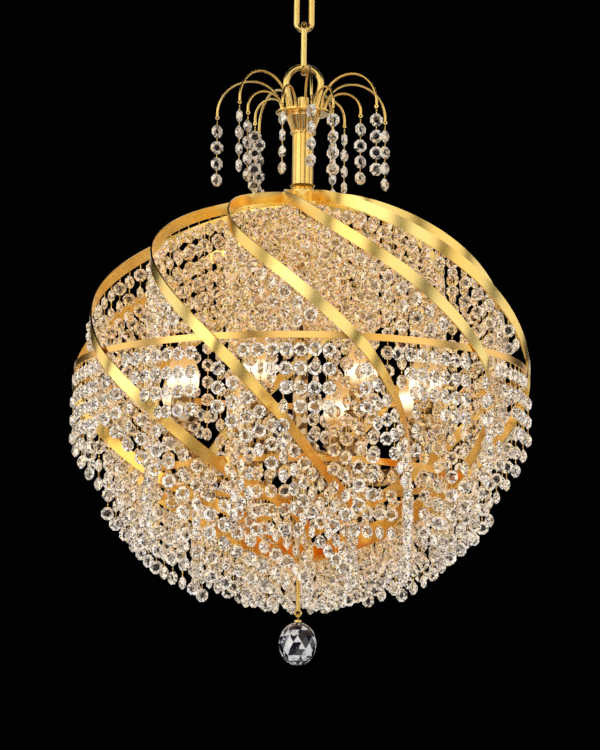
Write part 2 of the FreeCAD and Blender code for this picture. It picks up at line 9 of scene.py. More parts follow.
import bmesh
import bpy
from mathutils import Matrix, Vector


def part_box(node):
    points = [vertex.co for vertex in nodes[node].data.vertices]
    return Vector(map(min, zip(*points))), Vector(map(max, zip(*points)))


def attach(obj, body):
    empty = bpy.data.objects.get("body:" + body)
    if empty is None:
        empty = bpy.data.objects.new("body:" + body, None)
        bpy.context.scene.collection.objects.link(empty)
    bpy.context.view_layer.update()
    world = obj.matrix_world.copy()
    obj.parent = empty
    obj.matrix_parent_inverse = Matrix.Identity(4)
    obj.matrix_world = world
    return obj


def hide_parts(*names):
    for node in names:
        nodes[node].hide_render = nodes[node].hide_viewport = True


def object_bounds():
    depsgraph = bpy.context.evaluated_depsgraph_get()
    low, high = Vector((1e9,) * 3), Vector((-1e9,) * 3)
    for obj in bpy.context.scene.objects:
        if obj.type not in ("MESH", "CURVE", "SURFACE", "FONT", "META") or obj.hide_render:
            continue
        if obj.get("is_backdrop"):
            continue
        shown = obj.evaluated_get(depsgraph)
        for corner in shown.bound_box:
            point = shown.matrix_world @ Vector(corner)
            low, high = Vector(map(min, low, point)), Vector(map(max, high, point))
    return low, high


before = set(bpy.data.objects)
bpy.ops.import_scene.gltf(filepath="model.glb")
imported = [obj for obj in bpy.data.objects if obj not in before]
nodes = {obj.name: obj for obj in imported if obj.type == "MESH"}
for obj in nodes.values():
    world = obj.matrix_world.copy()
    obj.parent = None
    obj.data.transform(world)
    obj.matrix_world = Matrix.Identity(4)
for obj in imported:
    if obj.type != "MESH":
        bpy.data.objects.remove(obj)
cad_low, cad_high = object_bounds()
print("nodes in the frame:", len(nodes))

# %% [markdown]
# The photograph was taken with a long lens from well below the globe.
# So its near and far sides look almost equally large, and the hoops show as flat ovals seen from underneath.
# A target point and a place for the camera are enough: the camera turns until it looks from one to the other.

# %% Camera
globe_centre_z = (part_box("top_hub")[0].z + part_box("bottom_hub")[1].z) / 2
camera_distance = 4.39
camera_drop = 0.705
camera_lens = 195.0
camera_roll = math.radians(0.6)
sensor_width = 36.0
target_right = -0.0005
target_up = 0.001
target = Vector((target_right, 0, globe_centre_z + target_up))

camera = bpy.data.objects.new("portrait_camera", bpy.data.cameras.new("portrait_lens"))
camera.data.lens = camera_lens
camera.data.sensor_width = sensor_width
camera.location = (target.x, -camera_distance, globe_centre_z - camera_drop)
looking = (target - camera.location).to_track_quat("-Z", "Y").to_matrix().to_4x4()
camera.rotation_euler = looking.to_euler()
camera.rotation_euler.rotate_axis("Z", camera_roll)
bpy.context.collection.objects.link(camera)
bpy.context.scene.camera = camera
print("widest height of the globe:", round(globe_centre_z, 4))

# %% [markdown]
# Polished gold and cut glass have no colour of their own in the dark: they show what stands around them.
# The bands' faces are upright, so from below they mirror a belt a little above the globe's own height.
# Large, dim soft lights stand along that belt. Being large, they give calm reflections that don't clip.

# %% Soft studio lights
def softbox(name, place, size, power, colour):
    """A square soft light that faces the globe."""
    lamp = bpy.data.lights.new(name, "AREA")
    lamp.size = size
    lamp.energy = power
    lamp.color = colour
    holder = bpy.data.objects.new(name, lamp)
    holder.location = place
    away = Vector((0, 0, globe_centre_z)) - Vector(place)
    holder.rotation_euler = away.to_track_quat("-Z", "Y").to_euler()
    bpy.context.collection.objects.link(holder)


belt_size = 2.9
belt_white = (1.0, 0.98, 0.94)
belt_lights = {
    "left_light": ((-2.9, -2.3, 0.1), 44),
    "right_light": ((2.9, -2.3, 0.1), 30),
    "left_side_light": ((-3.5, 1.0, 0.1), 28),
    "right_side_light": ((3.5, 1.0, 0.1), 26),
    "front_light": ((0.0, -4.7, 0.4), 34),
    "back_light": ((0.2, 3.4, 0.3), 26),
}
for name, (place, power) in belt_lights.items():
    softbox(name, place, belt_size, power, belt_white)

low_size = 2.4
low_white = (1.0, 0.96, 0.9)
low_place = (0.3, -1.6, -2.7)
low_power = 16
softbox("low_light", low_place, low_size, low_power, low_white)
print("soft lights placed:", len(belt_lights) + 1)

# %% [markdown]
# A material is a tree of nodes. Sums on its sockets are easier to read as sums,
# so a small class lets Python's own operators add the Math nodes.

# %% Sums on sockets
def plug(tree, socket, value):
    """Links a socket, or sets its value where the value is plain."""
    if isinstance(value, Tap):
        tree.links.new(value.socket, socket)
    else:
        socket.default_value = value


class Tap:
    """An output socket that Python's operators can do sums with."""

    def __init__(self, tree, socket):
        self.tree = tree
        self.socket = socket

    def maths(self, operation, left, right):
        node = self.tree.nodes.new("ShaderNodeMath")
        node.operation = operation
        plug(self.tree, node.inputs[0], left)
        plug(self.tree, node.inputs[1], right)
        return Tap(self.tree, node.outputs[0])

    def __add__(self, other):
        return self.maths("ADD", self, other)

    def __radd__(self, other):
        return self.maths("ADD", other, self)

    def __sub__(self, other):
        return self.maths("SUBTRACT", self, other)

    def __rsub__(self, other):
        return self.maths("SUBTRACT", other, self)

    def __mul__(self, other):
        return self.maths("MULTIPLY", self, other)

    def __rmul__(self, other):
        return self.maths("MULTIPLY", other, self)

    def __truediv__(self, other):
        return self.maths("DIVIDE", self, other)

    def __pow__(self, other):
        return self.maths("POWER", self, other)


class Finish:
    """A material under construction, with its Principled shader and one method for any other node."""

    def __init__(self, name):
        self.material = bpy.data.materials.new(name)
        self.material.use_nodes = True
        self.tree = self.material.node_tree
        self.shader = self.tree.nodes["Principled BSDF"]

    def node(self, kind, settings=None, sockets=None, output=0):
        """Adds a node, sets its settings and stops first, then its sockets by name or number."""
        node = self.tree.nodes.new(kind)
        for name, value in (settings or {}).items():
            if name == "stops":
                self.set_stops(node.color_ramp, value)
            else:
                setattr(node, name, value)
        for name, value in (sockets or {}).items():
            plug(self.tree, node.inputs[name], value)
        return Tap(self.tree, node.outputs[output])

    def set_stops(self, ramp, stops):
        for place, colour in stops[2:]:
            ramp.elements.new(place)
        for element, (place, colour) in zip(ramp.elements, stops):
            element.position = place
            element.color = colour

    def ramp(self, factor, stops):
        return self.node("ShaderNodeValToRGB", {"stops": stops}, {"Fac": factor})

    def mixed(self, factor, low, high):
        """A colour between two others. Sockets 6 and 7 are the Mix node's colours."""
        return self.node("ShaderNodeMix", {"data_type": "RGBA"}, {0: factor, 6: low, 7: high}, 2)

    def clamped(self, value):
        return self.node("ShaderNodeClamp", {}, {"Value": value})

    def fraction(self, value):
        return self.node("ShaderNodeMath", {"operation": "FRACT"}, {0: value})

    def noise(self, scale, detail=2.0, where=None):
        """Soft noise over the piece, in object coordinates unless another vector is given."""
        where = where or self.here()
        return self.node("ShaderNodeTexNoise", {}, {"Vector": where, "Scale": scale, "Detail": detail})

    def here(self):
        return self.node("ShaderNodeTexCoord", {}, {}, "Object")

    def coordinate(self, letter):
        """One of the object coordinates, X, Y or Z."""
        return self.node("ShaderNodeSeparateXYZ", {}, {"Vector": self.here()}, letter)

    def cells(self, density):
        """Sharp-edged cells, each with a random colour. The density is in cells for each metre."""
        return self.node("ShaderNodeTexVoronoi", {}, {"Vector": self.here(), "Scale": density}, "Color")

    def stretched(self, scale):
        """Object coordinates stretched along one axis or more, for brushed or drawn metal."""
        return self.node("ShaderNodeMapping", {}, {"Vector": self.here(), "Scale": scale})

    def attribute(self, name):
        return self.node("ShaderNodeAttribute", {"attribute_name": name}, {}, "Fac")

    def bump(self, height, strength, distance):
        return self.node("ShaderNodeBump", {}, {"Height": height, "Strength": strength, "Distance": distance})

    def feed(self, sockets):
        for name, value in sockets.items():
            plug(self.tree, self.shader.inputs[name], value)
        return self.material


# %% [markdown]
# The bands, hoops, arms and chain are brass under a thin coat of polished gold.
# Its colour drifts a little between lemon and orange, and fine wiping marks soften the mirror here and there.
# Slow noise drives the colour and quick noise the roughness, so that reflections break up as on real plate.
# Low on the globe the bands lie among warm crystals and lamps, so their gold gets a painted orange reflection
# of them there.
# The hoops lie among them all the way round, so theirs has that painted orange reflection everywhere.

# %% Polished gold
painted_reflection_starts_below = 0.03
painted_reflection_fade = 0.12
painted_reflection_orange = (1.0, 0.52, 0.08, 1)
line_depth = 0.0004


def polished_gold(name, grain, warm=0.0, painted_low_reflection=0.0):
    """Gold with a wiping grain. The last two say how orange it is, partly as a painted reflection, and how
    much painted orange reflection it takes low down.
    """
    finish = Finish(name)
    drift = finish.noise(9.0, 3.0)
    stops = [
        (0.3, (1.0, 0.64 - warm, 0.15 - warm / 2, 1)),
        (0.7, (1.0, 0.78 - warm, 0.3 - warm / 2, 1)),
    ]
    colour = finish.ramp(drift, stops)
    # Low down, orange is painted in as a painted reflection of the warm crystals and lamps.
    if painted_low_reflection:
        height = finish.coordinate("Z")
        painted_reflection_share = finish.clamped((globe_centre_z - painted_reflection_starts_below - height) / painted_reflection_fade)
        colour = finish.mixed(painted_low_reflection * painted_reflection_share, colour, painted_reflection_orange)
    smears = finish.noise(38.0, 4.0)
    lines = finish.noise(1.0, 3.0, finish.stretched(grain))
    rough = 0.19 + 0.12 * smears ** 2 + 0.08 * lines
    return finish.feed({
        "Base Color": colour,
        "Metallic": 1.0,
        "Roughness": rough,
        "Normal": finish.bump(lines, 0.05, line_depth),
    })


band_gold = polished_gold("band_gold", (60, 60, 900), 0.0, 0.8)
# The hoops' extra orange is a painted reflection of the warm crystals and lamps around them.
hoop_gold = polished_gold("hoop_gold", (60, 60, 900), 0.13)
drawn_gold = polished_gold("drawn_gold", (420, 420, 60), 0.02)
spun_gold = polished_gold("spun_gold", (40, 40, 1300))
print("gold finishes made")

# %% [markdown]
# Cut glass throws small patches of light on everything around it.
# So the metal inside the globe is never evenly lit. That light is painted into its colour:
# painted bright patches beside painted shade, in cells under a centimetre wide.

# %% Dappled gold
def dappled_gold():
    finish = Finish("dappled_gold")
    cells = finish.cells(190.0)
    painted_light_patch = finish.node("ShaderNodeSeparateColor", {}, {"Color": cells}, "Red")
    # From painted shade at the dark end to painted light patches at the bright end.
    stops = [
        (0.0, (0.05, 0.025, 0.008, 1)),
        (0.35, (0.3, 0.15, 0.04, 1)),
        (0.6, (0.85, 0.5, 0.14, 1)),
        (0.8, (1.0, 0.82, 0.5, 1)),
        (1.0, (1.0, 0.97, 0.88, 1)),
    ]
    return finish.feed({
        "Base Color": finish.ramp(painted_light_patch, stops),
        "Metallic": 0.6,
        "Roughness": 0.4,
    })


painted_dapple_gold = dappled_gold()

# %% [markdown]
# The cup under the spray has gadroons, the rounded flutes of old silverware, cut into its flared side.
# Its colour follows the flutes' angle too: a painted highlight on the ridges and painted shade in the
# hollows.

# %% Fluted cup
flute_count = 16
flute_depth_share = 0.12
points_per_flute = 8
sharp_angle = math.radians(50)
doubled_corner_gap = 0.000001


def cup_rings():
    """The solid cup's own rings as (height, radius), from the bottom up."""
    rings = {}
    for vertex in nodes["spray_cup"].data.vertices:
        height = round(vertex.co.z, 5)
        rings[height] = max(rings.get(height, 0.0), math.hypot(vertex.co.x, vertex.co.y))
    return sorted(rings.items())


def fluted_cup():
    """The cup with its flared side fluted inwards from the solid cup's own radius."""
    rings = cup_rings()
    lip_height, lip_radius = rings[-2]
    rows = [(height, radius, 0.0) for height, radius in rings[:2]]
    rows.append((rings[2][0], rings[2][1], flute_depth_share))
    rows.append((lip_height, lip_radius, flute_depth_share))
    rows.append((lip_height, lip_radius, 0.0))
    rows.append((rings[-1][0], rings[-1][1], 0.0))
    made = bmesh.new()
    sides = flute_count * points_per_flute
    loops = []
    for height, radius, depth_share in rows:
        corners = []
        for step in range(sides):
            hollow = 0.5 - 0.5 * math.cos(math.tau * step / points_per_flute)
            reach = radius * (1 - depth_share * hollow)
            angle = math.tau * step / sides
            corners.append(made.verts.new((reach * math.cos(angle), reach * math.sin(angle), height)))
        loops.append(corners)
    for lower, upper in zip(loops, loops[1:]):
        for step in range(sides):
            following = (step + 1) % sides
            made.faces.new((lower[step], lower[following], upper[following], upper[step]))
    made.faces.new(loops[0])
    made.faces.new(loops[-1])
    bmesh.ops.remove_doubles(made, verts=made.verts, dist=doubled_corner_gap)
    bmesh.ops.recalc_face_normals(made, faces=made.faces)
    mesh = bpy.data.meshes.new("fluted_cup")
    made.to_mesh(mesh)
    made.free()
    mesh.shade_smooth()
    mesh.set_sharp_from_angle(angle=sharp_angle)
    return bpy.data.objects.new("fluted_cup", mesh)


def fluted_gold():
    finish = Finish("fluted_gold")
    across, ahead = finish.coordinate("X"), finish.coordinate("Y")
    angle = finish.node("ShaderNodeMath", {"operation": "ARCTAN2"}, {0: ahead, 1: across})
    wave = finish.node("ShaderNodeMath", {"operation": "COSINE"}, {0: angle * flute_count})
    ridge = 0.5 + 0.5 * wave
    # Pale on the ridges as a painted highlight, dark orange in the hollows as painted shade.
    stops = [(0.0, (0.9, 0.46, 0.09, 1)), (0.5, (1.0, 0.66, 0.22, 1)), (1.0, (1.0, 0.78, 0.38, 1))]
    return finish.feed({
        "Base Color": finish.ramp(ridge, stops),
        "Metallic": 1.0,
        "Roughness": 0.2 + 0.1 * finish.noise(60.0),
    })


fluted = fluted_gold()
cup = fluted_cup()
cup.data.materials.append(fluted)
bpy.context.collection.objects.link(cup)
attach(cup, "chandelier")
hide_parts("spray_cup")
print("faces of the fluted cup:", len(cup.data.polygons))

# %% [markdown]
# Zinc-plated steel for the hidden bracket shows the patchy frost of galvanising,
# which is a cell pattern with a different grey in each cell.

# %% Bracket steel and socket plastic
moulding_depth = 0.0002


def zinc_plate():
    finish = Finish("zinc_plate")
    grey = finish.node("ShaderNodeRGBToBW", {}, {"Color": finish.cells(220.0)})
    stops = [(0.0, (0.42, 0.43, 0.44, 1)), (1.0, (0.66, 0.67, 0.68, 1))]
    return finish.feed({
        "Base Color": finish.ramp(grey, stops),
        "Metallic": 1.0,
        "Roughness": 0.34 + 0.2 * grey,
    })


def socket_plastic():
    finish = Finish("socket_plastic")
    haze = finish.noise(120.0, 4.0)
    stops = [(0.35, (0.78, 0.73, 0.6, 1)), (0.65, (0.86, 0.82, 0.7, 1))]
    return finish.feed({
        "Base Color": finish.ramp(haze, stops),
        "Roughness": 0.42 + 0.12 * haze,
        "Normal": finish.bump(haze, 0.1, moulding_depth),
    })


zinc = zinc_plate()
ivory = socket_plastic()

# %% [markdown]
# A lit candle bulb is brightest at the filament, low in its belly, and falls off towards the tip.
# Its glow comes from the height above the lamp seat, so every bulb burns alike.

# %% Lit bulbs
bulb_low, bulb_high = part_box("bulb_1")


def lit_bulb():
    finish = Finish("lit_bulb")
    share = (finish.coordinate("Z") - bulb_low.z) / (bulb_high.z - bulb_low.z)
    glow = [
        (0.0, (0.2, 0.12, 0.05, 1)),
        (0.3, (0.42, 0.23, 0.07, 1)),
        (0.4, (1.0, 0.84, 0.56, 1)),
        (0.5, (1.0, 0.96, 0.84, 1)),
        (0.6, (0.62, 0.38, 0.14, 1)),
        (1.0, (0.3, 0.16, 0.05, 1)),
    ]
    colour = finish.ramp(share, glow)
    return finish.feed({
        "Base Color": colour,
        "Emission Color": colour,
        "Emission Strength": 1.0,
        "Roughness": 0.12,
        "Coat Weight": 0.6,
    })


bulb_glow = lit_bulb()

# %% [markdown]
# All this light and dark is painted into each bead's colour and glow: painted highlights on the rim, painted
# dark on the table, painted flashes.
# An octagon bead is a flat table with a bevelled rim. The rim bends light from all around into the eye
# and looks white, while the table lets the dark show through, so a bead reads as a bright ring.
# Some facets of the rim catch nothing and stay dark, and now and then a table flashes.
# Beads on the globe's skin are clear, with painted white and cream light. Deeper in, a painted warm
# reflection of the gold and the lamps is added to their colour, and more of their tables have painted
# flashes.
# Three attributes carry this: rim against table, a number for each facet, and a number for each bead.
# Every facet also shows small pieces of the facets behind it. Cells about 2 mm wide stand for them, as
# painted reflections.

# %% Cut crystal
painted_skin_light_colours = [
    (0.0, (1.0, 0.97, 0.9, 1)),
    (0.4, (1.0, 0.88, 0.68, 1)),
    (0.62, (0.95, 0.92, 0.96, 1)),
    (0.8, (1.0, 0.74, 0.36, 1)),
    (0.92, (1.0, 0.92, 0.7, 1)),
    (1.0, (0.88, 0.8, 1.0, 1)),
]
painted_warm_light_colours = [
    (0.0, (1.0, 0.88, 0.56, 1)),
    (0.28, (1.0, 0.66, 0.22, 1)),
    (0.48, (1.0, 0.93, 0.74, 1)),
    (0.62, (1.0, 0.8, 0.78, 1)),
    (0.76, (1.0, 0.4, 0.04, 1)),
    (0.88, (0.9, 0.8, 0.2, 1)),
    (1.0, (1.0, 0.7, 0.66, 1)),
]
painted_dark_on_skin = (0.04, 0.033, 0.03, 1)
painted_dark_deep_in = (0.1, 0.055, 0.018, 1)
cell_density = 500.0
skin_radius = 0.252
skin_half_height = 0.25
depth_rate = 3.2
lit_rim_alpha = 0.8
flash_alpha = 0.2


def depth_inside(finish):
    """0 on the globe's skin, growing to 1 some way inside it."""
    x, y = finish.coordinate("X"), finish.coordinate("Y")
    level = (finish.coordinate("Z") - globe_centre_z) / skin_half_height
    return finish.clamped(depth_rate * (1.0 - (x * x + y * y) / skin_radius ** 2 - level * level))


def cut_crystal(name, glow, speckle_share, table_alpha):
    """Crystal by its painted glow, the share of a facet's painted light that its cells change, and how solid
    a table looks.
    """
    finish = Finish(name)
    rim = finish.attribute("rim")
    tint = finish.attribute("tint")
    cells = finish.cells(cell_density)
    glint = finish.node("ShaderNodeSeparateColor", {}, {"Color": cells}, "Red")
    hue = finish.node("ShaderNodeSeparateColor", {}, {"Color": cells}, "Green")
    facet = finish.fraction(finish.attribute("facet") + 3.0 * tint + speckle_share * glint)
    table = finish.fraction(17.0 * tint + speckle_share * glint)
    depth = depth_inside(finish)
    flash = finish.clamped(3.0 * table - 2.5 + 0.7 * depth)
    light = rim * finish.clamped(2.2 * facet - 0.35) + (1.0 - rim) * flash
    # Painted light colours for the skin. Deeper in, these give way to a painted warm reflection of the gold
    # and the lamps.
    clear = finish.ramp(finish.fraction(tint + speckle_share * hue), painted_skin_light_colours)
    warm = finish.ramp(finish.fraction(tint + hue), painted_warm_light_colours)
    # The dark that shows through a table or an unlit facet is painted in.
    painted_dark = finish.mixed(depth, painted_dark_on_skin, painted_dark_deep_in)
    shade = finish.mixed(light, painted_dark, finish.mixed(depth, clear, warm))
    rim_alpha = lit_rim_alpha - table_alpha
    # A painted glow: the beads give off a little light, though they are no lamps.
    finish.shader.inputs["Emission Strength"].default_value = glow
    finish.material.cycles.emission_sampling = "NONE"
    return finish.feed({
        "Base Color": shade,
        "Emission Color": shade,
        "Roughness": 0.04,
        "IOR": 1.55,
        "Alpha": table_alpha + rim_alpha * rim + flash_alpha * light,
    })


globe_crystal = cut_crystal("globe_crystal", 0.35, 0.8, 0.26)
clear_crystal = cut_crystal("clear_crystal", 0.14, 0.5, 0.2)
print("crystal finishes made")

# %% [markdown]
# The bead itself is two eight-sided tables and a sharp girdle between them.
# The tables are turned half a side against the girdle, so each bevel breaks into two slanted facets,
# and that gives twice the sparkle for the same number of corners.
# It is built once and copied thousands of times.

# %% One octagon bead
bead_reach = 0.007
bead_half_thickness = 0.0031
table_share = 0.58
octagon_sides = 8
rim_turn = math.pi / octagon_sides


def octagon_ring(mesh, radius, depth, first_turn):
    """Eight corners round a ring whose sides lie at the given radius."""
    corner = radius / math.cos(rim_turn)
    turns = [first_turn + step * math.tau / octagon_sides for step in range(octagon_sides)]
    return [mesh.verts.new((corner * math.sin(turn), depth, corner * math.cos(turn))) for turn in turns]


def octagon_bead():
    """An octagon that faces along Y. Its rim's facets are marked 1 and get a number each."""
    made = bmesh.new()
    rim = made.faces.layers.float.new("rim")
    facet = made.faces.layers.float.new("facet")
    chance = random.Random(4)
    girdle = octagon_ring(made, bead_reach, 0.0, rim_turn)
    for side in (-1, 1):
        table = octagon_ring(made, bead_reach * table_share, side * bead_half_thickness, 0.0)
        made.faces.new(table)
        for step in range(octagon_sides):
            following = (step + 1) % octagon_sides
            for corners in ((girdle[step], girdle[step - 1], table[step]),
                            (table[step], table[following], girdle[step])):
                bevel = made.faces.new(corners)
                bevel[rim] = 1.0
                bevel[facet] = chance.random()
    bmesh.ops.recalc_face_normals(made, faces=made.faces)
    mesh = bpy.data.meshes.new("octagon_bead")
    made.to_mesh(mesh)
    made.free()
    return bpy.data.objects.new("octagon_bead", mesh)


bead = octagon_bead()
print("faces of a bead:", len(bead.data.polygons))

# %% [markdown]
# Bent brass pins join the beads. Each shows as a short wire with a bright knob in the middle,
# where its two ends are crimped. Four sides are plenty at this size.

# %% One pin
knob_start_share = 0.35
knob_middle_share = 0.5
knob_end_share = 0.65
pin_sides = 4


def crimped_pin(length, wire, knob):
    """A pin from its top at zero height down, with a knob in the middle."""
    profile = [
        (wire, 0.0),
        (wire, -length * knob_start_share),
        (knob, -length * knob_middle_share),
        (wire, -length * knob_end_share),
        (wire, -length),
    ]
    made = bmesh.new()
    turns = [step * math.tau / pin_sides for step in range(pin_sides)]
    rings = []
    for radius, height in profile:
        corners = [(radius * math.cos(turn), radius * math.sin(turn), height) for turn in turns]
        rings.append([made.verts.new(corner) for corner in corners])
    made.faces.new(rings[0])
    made.faces.new(rings[-1])
    for upper, lower in zip(rings, rings[1:]):
        for step in range(pin_sides):
            following = (step + 1) % pin_sides
            made.faces.new((upper[step], upper[following], lower[following], lower[step]))
    bmesh.ops.recalc_face_normals(made, faces=made.faces)
    mesh = bpy.data.meshes.new("crimped_pin")
    made.to_mesh(mesh)
    made.free()
    return bpy.data.objects.new("crimped_pin", mesh)


bead_pitch = 0.020
spray_pitch = 0.0183
hook_length = 0.005
pin_wire = 0.0004
pin_knob = 0.0011
hook_wire = 0.0005
hook_knob = 0.0013
pins = {pitch: crimped_pin(pitch - 2 * bead_reach, pin_wire, pin_knob) for pitch in (bead_pitch, spray_pitch)}
hook = crimped_pin(hook_length, hook_wire, hook_knob)

# %% [markdown]
# The strands repeat one rule: hang a bead every 20 mm below a hook, each turned a little on its pins.
# Geometry Nodes fits that well. The tree gets one point for each strand, copies it for every bead,
# moves each copy down by its number, and puts a bead and a pin there.
# The random turns and the random picks of painted light use a fixed seed, so that every render is the same.

# %% The tree that hangs beads
turn_seed = 3
light_pick_seed = 7


def add_input(tree, name, kind):
    return tree.interface.new_socket(name, in_out="INPUT", socket_type=kind)


class Garden:
    """A Geometry Nodes tree with one method that adds and links a node."""

    def __init__(self, name):
        self.tree = bpy.data.node_groups.new(name, "GeometryNodeTree")

    def add(self, kind, settings=None, sockets=None):
        node = self.tree.nodes.new(kind)
        for name, value in (settings or {}).items():
            setattr(node, name, value)
        for name, value in (sockets or {}).items():
            if isinstance(value, bpy.types.NodeSocket):
                self.tree.links.new(value, node.inputs[name])
            else:
                node.inputs[name].default_value = value
        return node

    def named(self, name, kind):
        return self.add("GeometryNodeInputNamedAttribute", {"data_type": kind}, {"Name": name}).outputs[0]

    def maths(self, operation, left, right):
        return self.add("ShaderNodeMath", {"operation": operation}, {0: left, 1: right}).outputs[0]


def bead_tree():
    garden = Garden("hang_beads")
    tree = garden.tree
    add_input(tree, "Strand points", "NodeSocketGeometry")
    add_input(tree, "Bead", "NodeSocketObject")
    add_input(tree, "Pin", "NodeSocketObject")
    add_input(tree, "Hook", "NodeSocketObject")
    add_input(tree, "Pitch", "NodeSocketFloat")
    add_input(tree, "Hook length", "NodeSocketFloat")
    add_input(tree, "Bead reach", "NodeSocketFloat")
    add_input(tree, "Seed", "NodeSocketInt")
    add_input(tree, "Crystal", "NodeSocketMaterial")
    add_input(tree, "Metal", "NodeSocketMaterial")
    tree.interface.new_socket("Strands", in_out="OUTPUT", socket_type="NodeSocketGeometry")
    given = garden.add("NodeGroupInput").outputs
    beads = garden.add("GeometryNodeDuplicateElements", {"domain": "POINT"},
                       {"Geometry": given["Strand points"], "Amount": garden.named("beads", "INT")})
    drop = garden.maths("MULTIPLY", beads.outputs["Duplicate Index"], given["Pitch"])
    below = garden.maths("SUBTRACT", 0.0, drop)
    step_down = garden.add("ShaderNodeCombineXYZ", {}, {"Z": below}).outputs[0]
    tops = garden.add("GeometryNodeSetPosition", {},
                      {"Geometry": beads.outputs["Geometry"], "Offset": step_down}).outputs[0]
    chance = garden.add("FunctionNodeRandomValue", {"data_type": "FLOAT"},
                        {"Min": -1.0, "Max": 1.0, "Seed": given["Seed"]}).outputs[1]
    turn = garden.maths("ADD", garden.named("facing", "FLOAT"),
                        garden.maths("MULTIPLY", chance, garden.named("play", "FLOAT")))
    euler = garden.add("ShaderNodeCombineXYZ", {}, {"Z": turn}).outputs[0]
    rotation = garden.add("FunctionNodeEulerToRotation", {}, {"Euler": euler}).outputs[0]
    parts = []
    bead_top = garden.maths("SUBTRACT", 0.0, given["Hook length"])
    middle = garden.maths("SUBTRACT", bead_top, given["Bead reach"])
    pin_top = garden.maths("SUBTRACT", middle, given["Bead reach"])
    last = garden.maths("SUBTRACT", garden.named("beads", "INT"), 1.0)
    not_last = garden.maths("LESS_THAN", beads.outputs["Duplicate Index"], last)
    rules = (
        ("Bead", tops, middle, True),
        ("Pin", tops, pin_top, not_last),
        ("Hook", given["Strand points"], 0.0, True),
    )
    for piece, points, lowered, chosen in rules:
        shape = garden.add("GeometryNodeObjectInfo", {"transform_space": "ORIGINAL"},
                           {"Object": given[piece]})
        offset = garden.add("ShaderNodeCombineXYZ", {}, {"Z": lowered}).outputs[0]
        placed = garden.add("GeometryNodeSetPosition", {}, {"Geometry": points, "Offset": offset}).outputs[0]
        turned = garden.add("GeometryNodeInstanceOnPoints", {},
                            {"Points": placed, "Selection": chosen, "Instance": shape.outputs["Geometry"],
                             "Rotation": rotation}).outputs[0]
        tint = garden.add("FunctionNodeRandomValue", {"data_type": "FLOAT"},
                          {"Min": 0.0, "Max": 1.0, "Seed": light_pick_seed}).outputs[1]
        light_picked = garden.add("GeometryNodeStoreNamedAttribute", {"data_type": "FLOAT", "domain": "INSTANCE"},
                            {"Geometry": turned, "Name": "tint", "Value": tint}).outputs[0]
        marked = garden.add("GeometryNodeStoreNamedAttribute", {"data_type": "BOOLEAN", "domain": "INSTANCE"},
                            {"Geometry": light_picked, "Name": "is_metal", "Value": piece != "Bead"}).outputs[0]
        parts.append(marked)
    joined = garden.add("GeometryNodeJoinGeometry")
    for part in parts:
        tree.links.new(part, joined.inputs[0])
    real = garden.add("GeometryNodeRealizeInstances", {}, {"Geometry": joined.outputs[0]}).outputs[0]
    crystal = garden.add("GeometryNodeSetMaterial", {},
                         {"Geometry": real, "Material": given["Crystal"]}).outputs[0]
    metal = garden.add("GeometryNodeSetMaterial", {},
                       {"Geometry": crystal, "Selection": garden.named("is_metal", "BOOLEAN"),
                        "Material": given["Metal"]}).outputs[0]
    garden.add("NodeGroupOutput", {}, {0: metal})
    return tree


bead_rule = bead_tree()
print("nodes in the bead tree:", len(bead_rule.nodes))

# %% [markdown]
# The solid model already knows where each strand hangs, how long it is and which way it faces.
# A solid strand is one loose island of its node's mesh. Its top edge gives the hook's place and heading,
# and its height gives the number of beads.

# %% Read the strands from the solid model
merge_gap = 0.00001
top_edge_depth = 0.0001


def strand_islands(node):
    """The corners of each loose island of a node's mesh, after its doubled corners are merged in a copy."""
    made = bmesh.new()
    made.from_mesh(nodes[node].data)
    bmesh.ops.remove_doubles(made, verts=made.verts, dist=merge_gap)
    islands = []
    seen = set()
    for first in made.verts:
        if first in seen:
            continue
        seen.add(first)
        waiting, island = [first], []
        while waiting:
            vertex = waiting.pop()
            island.append(vertex.co.copy())
            for edge in vertex.link_edges:
                other = edge.other_vert(vertex)
                if other not in seen:
                    seen.add(other)
                    waiting.append(other)
        islands.append(island)
    made.free()
    return islands


def read_strand(corners):
    """The hook's place, the bead count and the facing of one solid strand."""
    top = max(corner.z for corner in corners)
    low = min(corner.z for corner in corners)
    edge = [corner for corner in corners if top - corner.z < top_edge_depth]
    place = sum(edge, Vector()) / len(edge)
    near = min(edge[1:], key=lambda corner: (corner - edge[0]).length)
    across = near - edge[0]
    count = 1 + round((top - low - hook_length - 2 * bead_reach) / bead_pitch)
    return place, count, math.atan2(across.y, across.x)


strands = {node: [read_strand(island) for island in strand_islands(node)]
           for node in ("upper_strands", "lower_strands")}
for node, found in strands.items():
    print(node, len(found), "strands,", sum(strand[1] for strand in found), "beads")

# %% [markdown]
# Beads near the outside may turn only a little, so that none reaches past the solid model.
# Further in they swing freely on their pins.

# %% Hang the beads
free_play = math.radians(55)
least_play = 0.05
edge_margin = 0.0032
globe_reach = min(cad_high.x, cad_high.y)


def play_at(place):
    """How far a bead may turn at this distance from the axis."""
    room = globe_reach - math.hypot(place.x, place.y) - edge_margin
    return max(least_play, min(free_play, room / bead_reach))


